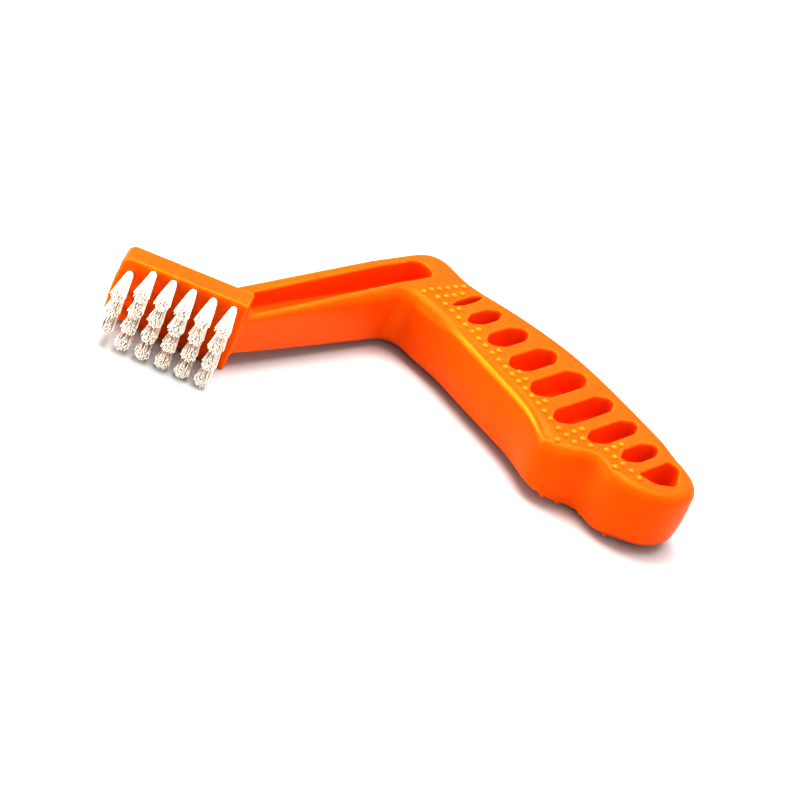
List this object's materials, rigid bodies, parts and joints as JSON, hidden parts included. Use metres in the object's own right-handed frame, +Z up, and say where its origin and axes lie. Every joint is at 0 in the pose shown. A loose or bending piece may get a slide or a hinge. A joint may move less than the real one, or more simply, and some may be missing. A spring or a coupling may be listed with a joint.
{
  "type": "angled cleaning brush",
  "caption": "Dog-leg cleaning brush: a moulded plastic handle with a pocketed grip, slotted neck and angled head that carries flared nylon tufts on wire anchors.",
  "frame": {"origin": "centre of the bounding box in plan, on the surface that the brush lies on (Z = 0 is the lowest edge of the head)", "axes": "the brush lies on its side: +X along the grip from the elbow to its free end, +Y from the head's side towards the grip's back edge, +Z up, through the thickness"},
  "size_m": [0.1505, 0.1268, 0.023],
  "materials": {
    "moulded_orange": "semi-gloss moulded polypropylene",
    "nylon_bristle": "natural white nylon filament",
    "anchor_wire": "drawn flat wire"
  },
  "bodies": {
    "root": {"handle": "moulded_orange", "tuft_c1_r1": "nylon_bristle", "tuft_c1_r2": "nylon_bristle", "tuft_c1_r3": "nylon_bristle", "tuft_c1_r4": "nylon_bristle", "tuft_c2_r1": "nylon_bristle", "tuft_c2_r2": "nylon_bristle", "tuft_c2_r3": "nylon_bristle", "tuft_c2_r4": "nylon_bristle", "tuft_c3_r1": "nylon_bristle", "tuft_c3_r2": "nylon_bristle", "tuft_c3_r3": "nylon_bristle", "tuft_c3_r4": "nylon_bristle", "tuft_c4_r1": "nylon_bristle", "tuft_c4_r2": "nylon_bristle", "tuft_c4_r3": "nylon_bristle", "tuft_c4_r4": "nylon_bristle", "tuft_c5_r1": "nylon_bristle", "tuft_c5_r2": "nylon_bristle", "tuft_c5_r3": "nylon_bristle", "tuft_c5_r4": "nylon_bristle", "tuft_c6_r1": "nylon_bristle", "tuft_c6_r2": "nylon_bristle", "tuft_c6_r3": "nylon_bristle", "tuft_anchors": "anchor_wire"}
  },
  "joints": []
}
